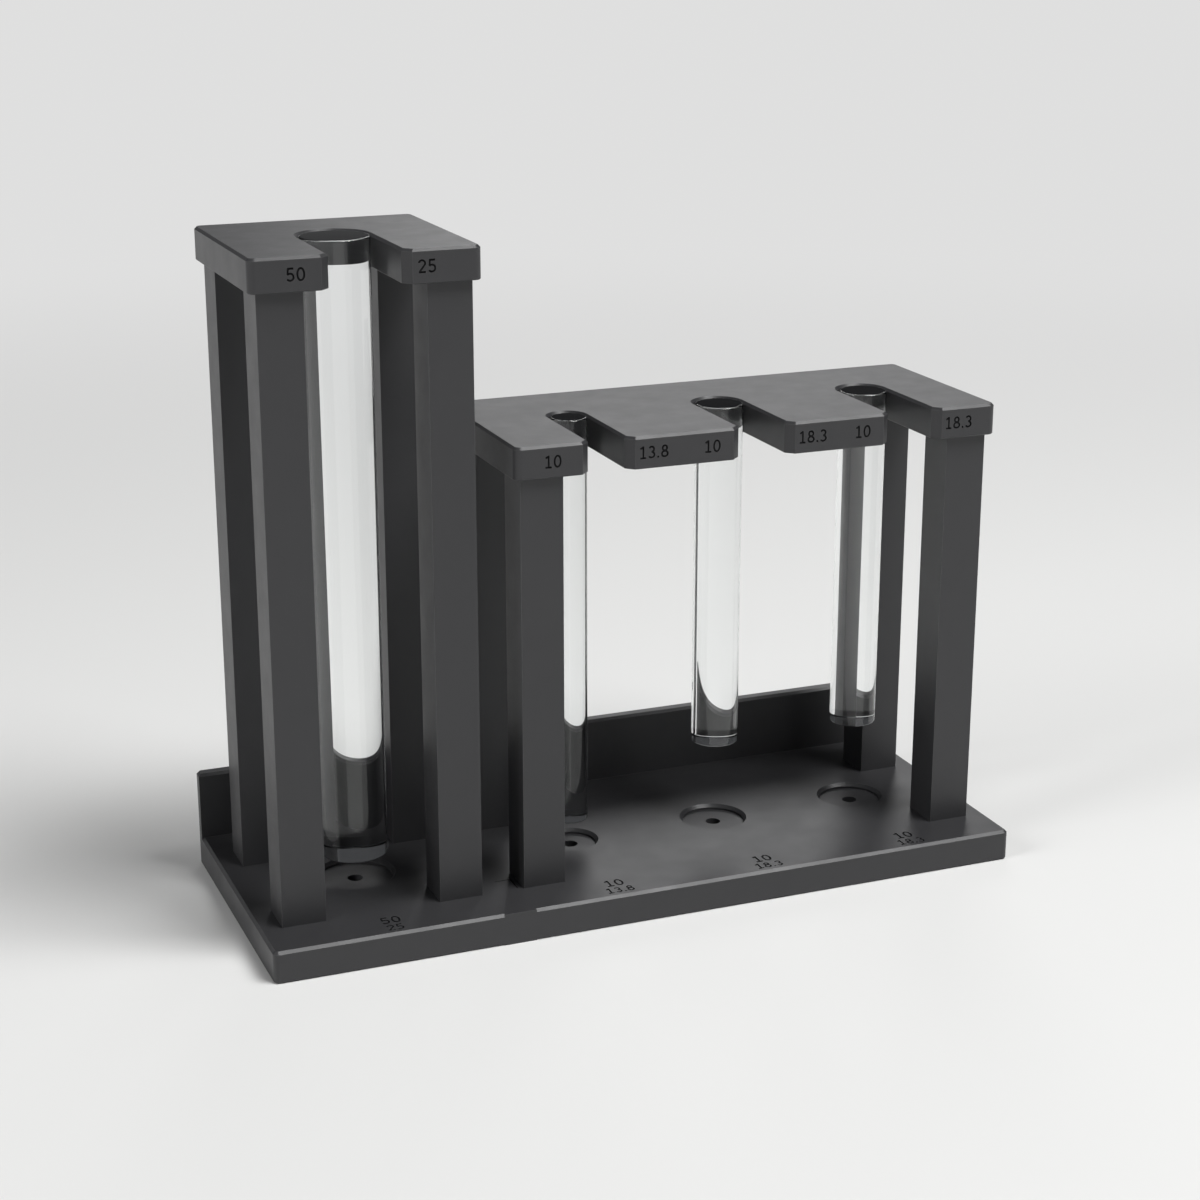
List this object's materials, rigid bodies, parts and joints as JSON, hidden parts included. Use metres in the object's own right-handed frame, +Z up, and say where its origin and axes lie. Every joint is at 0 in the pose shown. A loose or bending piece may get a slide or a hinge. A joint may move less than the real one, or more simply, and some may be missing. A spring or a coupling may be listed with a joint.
{
  "type": "cylinder drying rack",
  "caption": "Laboratory drying rack: a railed base with drip cups, square posts and front-slotted top plates that hold clear glass cylinders upright.",
  "frame": {"origin": "middle of the base's footprint, on the surface that it stands on", "axes": "+X along the rack from the tower bay to the rack bay, +Y from the open front to the back rail, +Z up"},
  "size_m": [0.2916, 0.1146, 0.2487],
  "materials": {
    "rack_plastic": "fine matte charcoal, edges a little smoother",
    "clear_glass": "clear, polished, with softened rims"
  },
  "bodies": {
    "root": {"base": "rack_plastic", "tower_post_front_left": "rack_plastic", "tower_post_front_right": "rack_plastic", "tower_post_back_left": "rack_plastic", "tower_post_back_right": "rack_plastic", "tower_top_plate": "rack_plastic", "rack_post_front_left": "rack_plastic", "rack_post_front_right": "rack_plastic", "rack_post_back_left": "rack_plastic", "rack_post_back_right": "rack_plastic", "rack_top_plate": "rack_plastic", "glass_cylinder_tower": "clear_glass", "glass_cylinder_narrow": "clear_glass", "glass_cylinder_middle": "clear_glass", "glass_cylinder_right": "clear_glass"}
  },
  "joints": []
}
